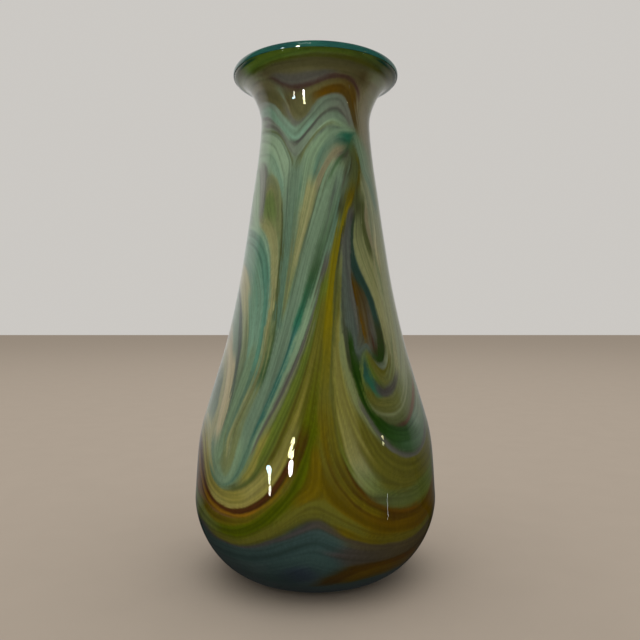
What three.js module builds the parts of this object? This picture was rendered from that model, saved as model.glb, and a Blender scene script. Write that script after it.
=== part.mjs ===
// A tall, pear-shaped, hand-blown art glass vase with a flared mouth.
//
// The vase is built as a glassblower builds it, from the inside out:
//   inner_gather      the first gather, an opal glass lining that holds the flowers and the water
//   five colour bands soft coloured glass laid round the gather one above the other, then combed
//                     with a hook, so that each joint between two bands hangs in swags
//   clear_casing      the last gather, clear glass over the colours, ground flat under the foot
//   lip_wrap          a trail of teal glass wound round the hot mouth and melted into a bead
// Millimetres, +Z up. The origin is on the axis, in the plane of the ground foot.

import * as THREE from "three";

// ---------------------------------------------------------------- driving dimensions

const HEIGHT = 300;
const FOOT_RADIUS = 36;
const BELLY_RADIUS = 72;
const BELLY_HEIGHT = 45;
const NECK_RADIUS = 32.7;
const NECK_HEIGHT = 268.5;
const LIP_RADIUS = 49.8;
const WALL = 6; // whole wall above the foot, and the thickness of the lip

// Radius of the body at the heights where its taper changes, between the belly and the neck.
const BODY_STATIONS = [
  { height: 80, radius: 69.5 },
  { height: 105, radius: 63 },
  { height: 135, radius: 54.2 },
  { height: 165, radius: 47.3 },
  { height: 195, radius: 42.2 },
  { height: 225, radius: 37.8 },
  { height: 250, radius: 34.2 },
];

// Each quarter turn of the outline is a superellipse: 2 is a true ellipse, less is slacker.
const FOOT_CURVE_POWER = 1.81;
const FLARE_CURVE_POWER = 1.62;

const CASING_THICKNESS = 2.1;
const COLOUR_THICKNESS = 1.3;
const GAP = 0.35; // clearance that stands for each fused joint between two layers
const BASE_THICKENING = 1.4; // extra share of the clear and opal layers at the centre of the base

const PONTIL_RADIUS = 18; // the polished hollow where the iron was broken off
const PONTIL_DEPTH = 2.4;

// The lip wrap covers the bead of the mouth between these two angles, seen in the wall's section:
// 0 points outwards, 90 up.
const WRAP_FROM_DEG = -24;
const WRAP_TO_DEG = 115;
const WRAP_REACH = 3; // how far down the inner face, along the glass, the wrap covers it

const SEGMENTS = 28; // facets round the axis
const SWAGS = 4; // hook pulls round the vase

// ---------------------------------------------------------------- the outer outline

const BEAD_RADIUS = WALL / 2;
const BEAD_CENTRE = new THREE.Vector2(LIP_RADIUS - BEAD_RADIUS, HEIGHT - BEAD_RADIUS);

// A quarter of a superellipse from one point to another, leaving the first point level if
// levelStart is set, and upright otherwise.
function quarterCurve(from, to, power, levelStart, steps) {
  const points = [];
  for (let i = 0; i <= steps; i++) {
    const angle = (i / steps) * (Math.PI / 2);
    const slow = 1 - Math.cos(angle) ** (2 / power);
    const quick = Math.sin(angle) ** (2 / power);
    const across = levelStart ? quick : slow;
    const up = levelStart ? slow : quick;
    points.push(
      new THREE.Vector2(from.x + (to.x - from.x) * across, from.y + (to.y - from.y) * up),
    );
  }
  return points;
}

// The outside of the vase as fine points, from the axis under the foot to the start of the bead.
function outerOutline() {
  const foot = new THREE.Vector2(FOOT_RADIUS, 0);
  const belly = new THREE.Vector2(BELLY_RADIUS, BELLY_HEIGHT);
  const neck = new THREE.Vector2(NECK_RADIUS, NECK_HEIGHT);
  const lip = new THREE.Vector2(BEAD_CENTRE.x, HEIGHT - WALL);
  const body = new THREE.SplineCurve([
    belly,
    ...BODY_STATIONS.map((s) => new THREE.Vector2(s.radius, s.height)),
    neck,
  ]);
  const base = [0, 0.25, 0.5, 0.75].map((share) => new THREE.Vector2(FOOT_RADIUS * share, 0));
  return [
    ...base,
    ...quarterCurve(foot, belly, FOOT_CURVE_POWER, true, 80),
    ...body.getSpacedPoints(200).slice(1),
    ...quarterCurve(neck, lip, FLARE_CURVE_POWER, false, 60).slice(1),
  ];
}

// The outline with its length, so that any place on it is one number, the distance from the axis
// along the glass.
const OUTLINE = outerOutline();
const DISTANCE = OUTLINE.map(() => 0);
for (let i = 1; i < OUTLINE.length; i++) {
  DISTANCE[i] = DISTANCE[i - 1] + OUTLINE[i].distanceTo(OUTLINE[i - 1]);
}
const OUTLINE_LENGTH = DISTANCE[DISTANCE.length - 1];

// Index of the stretch of outline that holds a distance.
function stretchAt(distance) {
  let i = 1;
  while (i < OUTLINE.length - 1 && DISTANCE[i] < distance) i++;
  return i;
}

// Distance along the outline at which it reaches a height, above the foot.
function distanceAtHeight(height) {
  let i = 1;
  while (i < OUTLINE.length - 1 && OUTLINE[i].y < height) i++;
  const below = OUTLINE[i - 1];
  const above = OUTLINE[i];
  const share = (height - below.y) / (above.y - below.y);
  return THREE.MathUtils.lerp(DISTANCE[i - 1], DISTANCE[i], THREE.MathUtils.clamp(share, 0, 1));
}

const BELLY_DISTANCE = distanceAtHeight(BELLY_HEIGHT);

// How much thicker the clear and the opal glass are here than on the wall: more under the foot.
function thickening(distance) {
  const inwards = Math.max(0, 1 - distance / BELLY_DISTANCE);
  return 1 + BASE_THICKENING * inwards ** 1.5;
}

// Depths below the outer surface of the four interfaces inside the wall, and of its inner face.
function depthsAt(distance) {
  const thick = thickening(distance);
  const casing = CASING_THICKNESS * thick;
  const colourOuter = casing + GAP;
  const colourInner = colourOuter + COLOUR_THICKNESS;
  const lining = colourInner + GAP;
  const liningThickness = WALL - CASING_THICKNESS - COLOUR_THICKNESS - 2 * GAP;
  return { casing, colourOuter, colourInner, lining, inside: lining + liningThickness * thick };
}

// A point at a depth below the outer surface, at a distance along it.
function pointAt(distance, depth) {
  const i = stretchAt(distance);
  const from = OUTLINE[i - 1];
  const to = OUTLINE[i];
  const share = (distance - DISTANCE[i - 1]) / (DISTANCE[i] - DISTANCE[i - 1]);
  const along = new THREE.Vector2().subVectors(to, from).normalize();
  const point = new THREE.Vector2().lerpVectors(from, to, share);
  point.x = Math.max(0, point.x - along.y * depth);
  point.y += along.x * depth;
  return point;
}

// ---------------------------------------------------------------- the mouth

function beadPoint(degrees, radius = BEAD_RADIUS) {
  const angle = THREE.MathUtils.degToRad(degrees);
  return new THREE.Vector2(
    BEAD_CENTRE.x + radius * Math.cos(angle),
    BEAD_CENTRE.y + radius * Math.sin(angle),
  );
}

// Where a layer at a depth ends: on the straight cut under the wrap, less the gap.
function layerEnd(depth) {
  const low = beadPoint(WRAP_FROM_DEG);
  const high = beadPoint(WRAP_TO_DEG);
  const height = HEIGHT - WALL + depth;
  const share = (height - low.y) / (high.y - low.y);
  return new THREE.Vector2(low.x + (high.x - low.x) * share - GAP * Math.SQRT2, height);
}

// ---------------------------------------------------------------- lathe work

// Distances of the rings along the outline: closer where it curves more.
function ringDistances(from, to, scale = 1) {
  const zones = [
    { until: distanceAtHeight(0.1), step: 12 },
    { until: distanceAtHeight(60), step: 7.5 },
    { until: distanceAtHeight(110), step: 10 },
    { until: distanceAtHeight(250), step: 16 },
    { until: OUTLINE_LENGTH, step: 5 },
  ];
  const rings = [from];
  while (rings[rings.length - 1] < to) {
    const here = rings[rings.length - 1];
    const zone = zones.find((z) => here < z.until - 1e-6) ?? zones[zones.length - 1];
    rings.push(here + zone.step * scale);
  }
  rings[rings.length - 1] = to;
  return rings;
}

// A body of revolution about +Z from its section, which goes round the glass anticlockwise.
function lathe(section) {
  return new THREE.LatheGeometry(section, SEGMENTS).rotateX(Math.PI / 2);
}

function clearCasing() {
  const rings = ringDistances(distanceAtHeight(0.1), OUTLINE_LENGTH);
  const pontil = [0, 0.35, 0.7, 1].map(
    (share) => new THREE.Vector2(PONTIL_RADIUS * share, PONTIL_DEPTH * (1 - share ** 2)),
  );
  const outside = rings.map((d) => pointAt(d, 0));
  const bead = [-60, WRAP_FROM_DEG - 8].map((deg) => beadPoint(deg));
  const end = layerEnd(CASING_THICKNESS);
  const inside = [0, 15, 27, ...rings]
    .map((d) => pointAt(d, depthsAt(d).casing))
    .reverse();
  return lathe([
    ...pontil,
    new THREE.Vector2(FOOT_RADIUS, 0),
    ...outside.slice(1),
    ...bead,
    end,
    ...inside,
  ]);
}

function innerGather() {
  const floor = [0, 15, 27];
  const foot = distanceAtHeight(0.1);
  const outside = [...floor, ...ringDistances(foot, OUTLINE_LENGTH)]
    .map((d) => pointAt(d, depthsAt(d).lining));
  const inside = [...floor, ...ringDistances(foot, OUTLINE_LENGTH - WRAP_REACH)]
    .map((d) => pointAt(d, depthsAt(d).inside))
    .reverse();
  const outerDepth = depthsAt(OUTLINE_LENGTH).lining;
  return lathe([...outside, layerEnd(outerDepth), layerEnd(WALL - 0.4), ...inside]);
}

function lipWrap() {
  const arc = [];
  const steps = 10;
  for (let i = 0; i <= steps; i++) {
    arc.push(beadPoint(WRAP_FROM_DEG + ((WRAP_TO_DEG - WRAP_FROM_DEG) * i) / steps));
  }
  return lathe([...arc, arc[0].clone()]);
}

// ---------------------------------------------------------------- combed colour bands

// The joint between two bands: a level line that each hook pull draws up to a peak.
function combedJoint(height, pull, turnDeg) {
  return (azimuth) => {
    const phase = SWAGS * (azimuth - THREE.MathUtils.degToRad(turnDeg));
    const peak = ((1 + Math.cos(phase)) / 2) ** 2;
    return distanceAtHeight(height + pull * peak);
  };
}

// A band of the colour layer between two joints. Its section is drawn afresh at every facet,
// because the joints rise and fall round the vase.
function colourBand(lowerJoint, upperJoint, rows, rimmed = false) {
  const up = Array.from({ length: rows + 1 }, (_, i) => i / rows);
  const section = [
    ...up.map((share) => ({ share, outer: true })),
    ...(rimmed ? [{ rim: true, outer: true }, { rim: true, outer: false }] : []),
    ...up.toReversed().map((share) => ({ share, outer: false })),
    { share: 0, outer: true },
  ];
  const geometry = new THREE.LatheGeometry(
    section.map(() => new THREE.Vector2(1, 0)),
    SEGMENTS,
  );
  const place = geometry.getAttribute("position");
  for (let i = 0; i < place.count; i++) {
    const { share, outer, rim } = section[i % section.length];
    const azimuth = (Math.floor(i / section.length) / SEGMENTS) * 2 * Math.PI;
    const low = lowerJoint(azimuth) + GAP / 2;
    const high = upperJoint(azimuth) - (rimmed ? 0 : GAP / 2);
    const distance = THREE.MathUtils.lerp(low, high, share ?? 1);
    const depths = depthsAt(distance);
    const depth = outer ? depths.colourOuter : depths.colourInner;
    const point = rim ? layerEnd(depth) : pointAt(distance, depth);
    place.setXYZ(i, point.x * Math.sin(azimuth), point.y, point.x * Math.cos(azimuth));
  }
  return geometry.rotateX(Math.PI / 2);
}

// The lowest band is a cup: it closes across the base under the opal lining.
function colourCup(upperJoint, rows) {
  const shares = Array.from({ length: rows + 1 }, (_, i) => i / rows);
  const section = [
    ...shares.map((share) => ({ share, outer: true })),
    ...shares.toReversed().map((share) => ({ share, outer: false })),
  ];
  const geometry = new THREE.LatheGeometry(
    section.map(() => new THREE.Vector2(1, 0)),
    SEGMENTS,
  );
  const place = geometry.getAttribute("position");
  for (let i = 0; i < place.count; i++) {
    const { share, outer } = section[i % section.length];
    const azimuth = (Math.floor(i / section.length) / SEGMENTS) * 2 * Math.PI;
    const distance = (upperJoint(azimuth) - GAP / 2) * share;
    const depths = depthsAt(distance);
    const point = pointAt(distance, outer ? depths.colourOuter : depths.colourInner);
    place.setXYZ(i, point.x * Math.sin(azimuth), point.y, point.x * Math.cos(azimuth));
  }
  return geometry.rotateX(Math.PI / 2);
}

// Where one band meets the next, from the base up.
const BASE_JOINT = combedJoint(32, 9, 0);
const SWAG_JOINT = combedJoint(58, 17, 0);
const BODY_JOINT = combedJoint(254, 12, 26);
const NECK_JOINT = combedJoint(281, 4, 26);
const LIP_JOINT = () => OUTLINE_LENGTH;

// ---------------------------------------------------------------- glass

function glass(name, geometry, colour, roughness) {
  const material = new THREE.MeshStandardMaterial({ color: colour, roughness, metalness: 0 });
  const mesh = new THREE.Mesh(geometry, material);
  mesh.name = name;
  return mesh;
}

const vase = new THREE.Group();
vase.name = "art_glass_vase";
vase.add(
  glass("clear_casing", clearCasing(), 0xdfe9e4, 0.04),
  glass("base_colour_cup", colourCup(BASE_JOINT, 16), 0x4a5860, 0.3),
  glass("swag_colour_band", colourBand(BASE_JOINT, SWAG_JOINT, 10), 0x84763a, 0.3),
  glass("body_colour_band", colourBand(SWAG_JOINT, BODY_JOINT, 22), 0x7c9a80, 0.3),
  glass("neck_colour_band", colourBand(BODY_JOINT, NECK_JOINT, 8), 0x7a5a30, 0.3),
  glass("collar_colour_band", colourBand(NECK_JOINT, LIP_JOINT, 5, true), 0x6f7a35, 0.3),
  glass("inner_gather", innerGather(), 0xd9dfcf, 0.08),
  glass("lip_wrap", lipWrap(), 0x1f5c56, 0.05),
);

export default vase;
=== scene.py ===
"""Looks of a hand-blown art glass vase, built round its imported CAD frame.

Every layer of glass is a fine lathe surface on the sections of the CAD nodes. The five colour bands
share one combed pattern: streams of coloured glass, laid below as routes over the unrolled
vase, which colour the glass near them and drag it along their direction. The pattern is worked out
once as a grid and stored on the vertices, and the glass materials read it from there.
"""

import math

import bpy
import numpy as np
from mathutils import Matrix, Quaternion, Vector


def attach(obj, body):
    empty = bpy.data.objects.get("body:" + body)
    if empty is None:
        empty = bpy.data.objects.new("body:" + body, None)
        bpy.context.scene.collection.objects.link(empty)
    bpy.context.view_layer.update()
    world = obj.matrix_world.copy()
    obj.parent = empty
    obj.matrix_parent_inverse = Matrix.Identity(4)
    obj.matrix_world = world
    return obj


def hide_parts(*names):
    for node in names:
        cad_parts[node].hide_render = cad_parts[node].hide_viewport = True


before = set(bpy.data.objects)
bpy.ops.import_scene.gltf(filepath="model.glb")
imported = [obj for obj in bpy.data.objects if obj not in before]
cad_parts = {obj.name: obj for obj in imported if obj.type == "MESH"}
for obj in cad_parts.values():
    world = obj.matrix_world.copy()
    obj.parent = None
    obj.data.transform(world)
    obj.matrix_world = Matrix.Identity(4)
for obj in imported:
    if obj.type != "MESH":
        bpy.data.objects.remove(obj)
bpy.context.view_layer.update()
MM = 0.001

PATTERN = "glass_colour_and_painted_light"  # the vertex layer that the glass materials read
GLASS_IOR = 1.5
RING_COLUMNS = 28  # columns of vertices round each CAD node
SMOOTH_COLUMNS = 256  # columns of vertices round the clear and plain pieces
INNER_STEP = 8.0  # mm between the rings of a band's hidden inner face
HEIGHT = 300.0  # mm
BACK_STRETCH = 12.0  # degrees by which the back's pattern is wider at its sides than a mirror image
BACK_TWIST = 14.0  # degrees by which it leans over in its middle
BACK_SAG = 13.0  # mm by which it hangs lower in its middle
HAZE = 0.0008  # light of the room mirrored in the glass, left out of the glass's own colour
GAIN = 1.45  # how much lighter the glass itself is than it shows in this light
FOOT_ROWS = 6  # lowest rows of the pattern, whose mean colours the glass under the foot
THINNING = 5  # one in so many points of a fine section makes a ring of a plain shell
FLOOR_HALF = 6.0  # m from the middle of the floor to its edges
FLOOR_COLOUR = (0.50, 0.43, 0.36, 1)
WALL_COLOUR = (0.60, 0.58, 0.55, 1)
MIRRORED_ROOM = (0.02, 0.02, 0.02, 1)

WALL_CARD = (2.6, -0.20, 1.3, 0.45)  # m: half width, lowest and highest point, distance behind the vase
WALL_FADE = 0.45  # m over which the wall in the glass fades in above its lowest point
WALL_LEFT = 0.84  # its light on the left and on the right
WALL_RIGHT = 0.36
WALL_ENDS = 0.7  # m to each side from where it fades out
WALL_MIDDLE = 0.5  # share of it right behind the vase
WALL_MIDDLE_EDGES = (0.04, 0.14)  # m to each side between which that share grows to all of it
WALL_TURN = 0.4  # m to each side over which its left light turns into its right

EYE = (0.00275, -0.3924, 0.1496)  # m: the camera, level with the vase's middle
LENS = 36.11  # mm
SENSOR = 36.0  # mm

OVERHEAD = 1.0  # radiance of the broad light above
# Soft lights on the vase alone: azimuth in degrees, distance and height in m, (width, height) of the light,
# radiance, and the height that it is aimed at.
SOFT_LIGHTS = [
    ("key", -30, 2.2, 0.68, (2.2, 1.2), 3.1, 0.15),
    ("fill", 40, 2.2, 0.66, (2.2, 1.2), 1.9, 0.15),
    ("bounce", 0, 1.0, 0.04, (1.2, 0.4), 4.6, 0.29),
    ("right side", 105, 2.2, 0.40, (1.4, 1.2), 1.2, 0.15),
    ("left side", -110, 2.2, 0.40, (1.4, 1.2), 1.2, 0.15),
    ("back", 180, 2.2, 0.42, (2.2, 1.2), 2.8, 0.15),
]
# Panes seen only in the glass: azimuth, distance, height, (width, height), radiance, colour and roll.
MIRRORED_LIGHTS = [
    ("window, top leaves", -20.4, 1.1, 0.38, (0.06, 0.15), 30, (1.0, 0.95, 0.5), -9),
    ("window, left leaves", -22.3, 1.1, 0.24, (0.055, 0.17), 30, (1.0, 0.95, 0.5), -16),
    ("window, right leaves", -20.2, 1.1, 0.20, (0.045, 0.13), 30, (1.0, 0.95, 0.5), -20),
    ("window, white sill", -21.3, 1.1, 0.06, (0.085, 0.17), 40, (1.0, 0.93, 0.97), -6),
    ("low window, sky", -42, 2.9, -0.07, (0.30, 0.20), 26, (0.62, 0.86, 1.0), -15),
    ("low window, leaves", -41.4, 2.9, -0.22, (0.14, 0.14), 20, (0.95, 1.0, 0.7), -30),
    ("low window, light", -40.6, 2.9, -0.36, (0.12, 0.16), 20, (1.0, 0.97, 0.75), -35),
    ("far window, leaves", 66, 1.1, 0.32, (0.03, 0.06), 14, (1.0, 0.95, 0.5), 20),
    ("far window, twig", 65.6, 1.1, 0.24, (0.025, 0.06), 14, (1.0, 0.95, 0.5), -12),
    ("far window, low", 67, 2.0, -0.35, (0.03, 0.16), 4, (0.9, 0.97, 1.0), 0),
    ("high window", -16, 0.8, 1.1, (0.26, 0.04), 30, (1.0, 1.0, 1.0), 0),
]

PIECES = {
    "clear_casing": "clear_casing_glass",
    "base_colour_cup": "base_colour_glass",
    "swag_colour_band": "swag_colour_glass",
    "body_colour_band": "body_colour_glass",
    "neck_colour_band": "neck_colour_glass",
    "collar_colour_band": "collar_colour_glass",
    "inner_gather": "opal_lining_glass",
    "lip_wrap": "teal_lip_glass",
}

# ---------------------------------------------------------------- the colours, as laid and combed

# Colours of the glass as they show, in sRGB from 0 to 255, with painted light in them:
# part of the light and shade that fell on each stream is in its colour, and the streams on the front's left,
# at negative azimuths, are painted lighter.
PALETTE = {
    "mint": (106, 121, 100),
    "sage": (85, 100, 79),
    "lichen": (76, 90, 74),
    "aqua": (86, 108, 92),
    "teal": (64, 95, 81),
    "lagoon": (38, 71, 64),
    "night": (30, 46, 40),
    "emerald": (28, 70, 54),
    "leaf": (75, 86, 49),
    "forest": (41, 60, 37),
    "pine": (20, 40, 6),
    "moss": (66, 75, 26),
    "lime": (52, 58, 2),
    "olive": (65, 62, 20),
    "ivy": (56, 60, 34),
    "drab": (82, 86, 56),
    "soot": (40, 42, 26),
    "yellow": (92, 80, 4),
    "mustard": (102, 95, 42),
    "ochre": (69, 57, 6),
    "straw": (110, 103, 56),
    "tan": (104, 102, 70),
    "beige": (124, 121, 88),
    "stone": (100, 103, 78),
    "blush": (128, 118, 92),
    "clay": (94, 88, 68),
    "amber": (98, 68, 14),
    "rust": (70, 48, 8),
    "copper": (68, 42, 6),
    "brown": (56, 36, 2),
    "bark": (56, 47, 26),
    "oxblood": (50, 27, 12),
    "wine": (56, 38, 34),
    "mauve": (86, 62, 40),
    "lavender": (80, 80, 72),
    "plum": (64, 62, 56),
    "grape": (46, 43, 42),
    "slate": (56, 63, 57),
    "steel": (42, 52, 51),
    "petrol": (37, 50, 48),
    "navy": (32, 38, 46),
    "apple": (92, 118, 42),
    "bottle": (34, 74, 60),
    "khaki": (70, 67, 42),
    "jade": (62, 82, 68),
    "lilac": (94, 95, 86),
    "sand": (88, 84, 40),
    "bronze": (62, 46, 4),
    "umber": (46, 32, 8),
}

# Streams of glass: colour at the start, colour at the end, half width in mm, and the route
# as (azimuth in degrees, height in mm). Azimuth 0 faces the front and grows to the viewer's right.
COLLAR_STREAMS = [
    ("bottle", "bottle", 1.6, [(-60, 297.4), (30, 298), (60, 297.4)]),
    ("lichen", "lichen", 1.4, [(-90, 297), (-76, 297)]),
    ("lichen", "lichen", 1.4, [(76, 297), (90, 297)]),
    ("apple", "apple", 2.2, [(-66, 292.4), (-46, 293.6), (20, 295)]),
    ("apple", "leaf", 2, [(20, 295), (58, 293.4)]),
    ("stone", "drab", 2.4, [(-90, 294.4), (-70, 294)]),
    ("stone", "drab", 2.4, [(90, 294.4), (66, 294)]),
    ("moss", "olive", 1, [(-90, 291.4), (0, 293), (90, 292)]),
    ("stone", "stone", 2.6, [(-90, 291.6), (-72, 291), (-56, 289.4)]),
    ("stone", "clay", 2, [(-90, 286), (-60, 286.6)]),
    ("stone", "stone", 2.6, [(90, 291.6), (72, 291), (57, 289.4)]),
    ("stone", "clay", 2, [(90, 286), (61, 286.6)]),
    ("khaki", "khaki", 2.2, [(-46, 289), (-30, 289.6), (46, 289)]),
    ("khaki", "bark", 1.8, [(2, 288), (24, 289), (36, 289), (50, 287.5)]),
    ("clay", "khaki", 1.6, [(-62, 285.5), (-54, 285.5), (-42, 281.5)]),
    ("plum", "plum", 1.8, [(-38, 287), (-18, 283), (14, 287)]),
    ("wine", "wine", 0.45, [(-58, 290), (-46, 288), (-30, 281.6), (-22, 279.6), (-12, 280)]),
    ("wine", "wine", 0.55, [(-12, 280), (-4, 281), (14, 285), (34, 285.4), (50, 279)]),
]
NECK_STREAMS = [
    ("plum", "grape", 0.3, [(-70, 264.5), (-52, 262), (-42, 259), (-33, 253.4), (-21.4, 243)]),
    ("plum", "ivy", 0.25, [(-15, 251), (0, 262), (10, 266.6), (24, 266), (33, 262)]),
    ("khaki", "khaki", 2, [(-90, 283), (-66, 281.5), (-44, 275), (-36, 271)]),
    ("khaki", "khaki", 2.4, [(-25, 275), (-16, 267), (-8, 274)]),
    ("bark", "khaki", 0.8, [(-31, 277), (-26, 268)]),
    ("khaki", "rust", 1.4, [(-12, 277), (20, 283), (30, 282), (38, 278.5), (44, 273)]),
    ("rust", "bark", 1.5, [(2, 277), (22, 280.5), (31, 279.5), (38, 276), (44, 269), (47, 262)]),
    ("clay", "clay", 2.2, [(52, 276), (56, 268), (58, 260)]),
    ("lichen", "clay", 0.8, [(-36, 280), (-27, 268)]),
    ("lilac", "aqua", 1, [(-90, 277), (-60, 275.5), (-48, 272), (-30, 260.5), (-18, 256)]),
    ("lichen", "lavender", 1.6, [(-18, 256), (4, 270), (14, 274), (26, 275), (35, 271), (41, 263)]),
    ("lavender", "plum", 0.55, [(-34, 271.5), (-27, 265), (-20, 260), (-16, 260.5), (-8, 264.5), (2, 270)]),
    ("aqua", "aqua", 1, [(-90, 273.5), (-57, 271.5), (-46, 266), (-28, 256), (-20, 253), (-12, 257),
     (-4, 262)]),
    ("plum", "plum", 0.35, [(-90, 271), (-70, 269.5), (-56, 267), (-48, 263.5), (-32, 253), (-24, 250),
     (-19, 249)]),
    ("grape", "plum", 0.38, [(-19, 250), (-13, 252), (0, 260), (8, 265), (16, 268), (25, 268.6),
     (32, 266.6), (38, 262.4)]),
    ("lilac", "lichen", 1, [(-60, 266), (-46, 262), (-36, 257.5), (-22, 245), (-18, 244), (-12, 248),
     (6, 261), (18, 266), (30, 264)]),
    ("ivy", "drab", 0.35, [(-70, 261.5), (-50, 258.6), (-40, 256), (-32, 251), (-21, 239), (-18.5, 238),
     (-14, 241), (-8, 247.5), (0, 254), (8, 258.6), (18, 262), (30, 261)]),
    ("mint", "mint", 3, [(-90, 258), (-66, 256), (-46, 251), (-36, 243), (-29, 233)]),
    ("mint", "aqua", 2, [(-70, 246), (-52, 244), (-42, 238), (-34, 228), (-31, 222)]),
    ("sage", "sage", 1.2, [(12, 256), (4, 250), (-3, 243), (-7, 234), (-11, 214)]),
    ("mint", "sage", 0.8, [(-6, 253), (10, 261), (20, 263), (29, 261)]),
    ("slate", "slate", 0.25, [(1, 253), (9, 258), (18, 260), (28, 258.4)]),
    ("sage", "lichen", 0.8, [(44, 259), (27, 258), (18, 255.6), (11, 252)]),
    ("emerald", "emerald", 1.5, [(31, 254), (35, 254), (39, 255)]),
    ("night", "emerald", 0.6, [(24, 252), (38, 251)]),
    ("lichen", "jade", 0.9, [(24, 253), (14, 249), (7, 244), (-2, 229)]),
    ("grape", "grape", 0.7, [(24, 244), (28, 244.4), (31, 246)]),
    ("soot", "grape", 0.5, [(27, 241.6), (31, 243), (33, 245.4)]),
    ("clay", "clay", 1.3, [(28, 246), (18, 242), (6, 231), (2, 224)]),
    ("forest", "forest", 0.5, [(38, 252), (26, 241.5), (18, 235), (7, 221)]),
]
LEFT_STREAMS = [
    ("slate", "jade", 0.25, [(-90, 204), (-64, 200), (-52, 196.6), (-44, 191), (-39, 182), (-36, 170)]),
    ("lilac", "lilac", 0.7, [(-66, 240), (-61, 234), (-58, 224), (-56, 214), (-54, 208)]),
    ("lavender", "lavender", 0.4, [(-58, 240), (-53, 232), (-50.5, 222), (-51, 213), (-53, 208)]),
    ("lilac", "lilac", 0.8, [(-62, 238), (-56, 230), (-53.5, 211)]),
    ("mint", "mint", 2.2, [(-90, 236), (-74, 232), (-66, 222), (-62, 212), (-56, 203.5)]),
    ("leaf", "leaf", 2.6, [(-42, 219), (-41, 214), (-39, 210)]),
    ("stone", "drab", 1.2, [(-49, 229), (-43, 230), (-37, 225), (-33, 217), (-30, 198)]),
    ("tan", "drab", 0.9, [(-48, 224), (-43, 225), (-38, 221), (-35, 214)]),
    ("ivy", "ivy", 0.7, [(-31, 214), (-27, 190), (-27.6, 160)]),
    ("ivy", "forest", 0.6, [(-27.6, 160), (-26.4, 148), (-27, 138), (-29.5, 117)]),
    ("tan", "tan", 1.5, [(-50, 205), (-42, 203), (-36, 196), (-32.6, 186), (-30, 160), (-31, 146)]),
    ("tan", "tan", 0.9, [(-30.6, 146), (-32.6, 122), (-40, 98), (-43, 88), (-43, 78)]),
    ("drab", "drab", 0.9, [(-29, 150), (-31, 122), (-39, 98), (-41, 88)]),
    ("mint", "aqua", 1, [(-90, 207), (-66, 204), (-54, 201.5), (-45, 196), (-39, 188), (-35, 176),
     (-33, 148)]),
    ("aqua", "teal", 2.6, [(-90, 200), (-66, 197), (-55, 194), (-47, 189), (-41, 182), (-37, 171)]),
    ("teal", "teal", 1.2, [(-37, 171), (-35.6, 160), (-35, 136), (-36, 124)]),
    ("jade", "lichen", 0.8, [(-36, 124), (-39, 112), (-45, 90), (-46, 80)]),
    ("aqua", "aqua", 2.4, [(-90, 191), (-66, 187), (-54, 181), (-47, 173), (-42, 163), (-40, 150),
     (-39, 136)]),
    ("teal", "teal", 0.4, [(-60, 180), (-51, 175), (-45.6, 167), (-43, 157)]),
    ("sage", "sage", 2, [(-39, 136), (-40.6, 124), (-45.6, 102), (-48.4, 82)]),
    ("blush", "beige", 2, [(-90, 182), (-72, 177.5), (-62, 169), (-56, 160)]),
    ("beige", "lichen", 1.4, [(-56, 160), (-51.4, 150), (-46, 128), (-48, 100)]),
    ("aqua", "aqua", 1.2, [(-52, 163), (-47, 152), (-44, 141), (-43, 129)]),
    ("slate", "slate", 0.5, [(-74, 166), (-64, 158.5), (-57.6, 148), (-53, 136), (-50.4, 124), (-49, 112),
     (-49.6, 100), (-51, 90)]),
    ("aqua", "lichen", 2, [(-90, 160), (-70, 154), (-62, 144), (-57, 133)]),
    ("blush", "blush", 2.2, [(-90, 140), (-72, 137), (-62, 130), (-57, 121), (-54, 110), (-53.4, 98),
     (-54, 88)]),
    ("tan", "tan", 1.2, [(-90, 131), (-72, 128), (-63, 120), (-59, 110), (-58, 99), (-58, 90)]),
    ("forest", "lichen", 2.6, [(-66, 112), (-66, 104), (-68, 96)]),
    ("lichen", "sage", 2, [(-90, 112), (-78, 106), (-76, 98)]),
]
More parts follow.
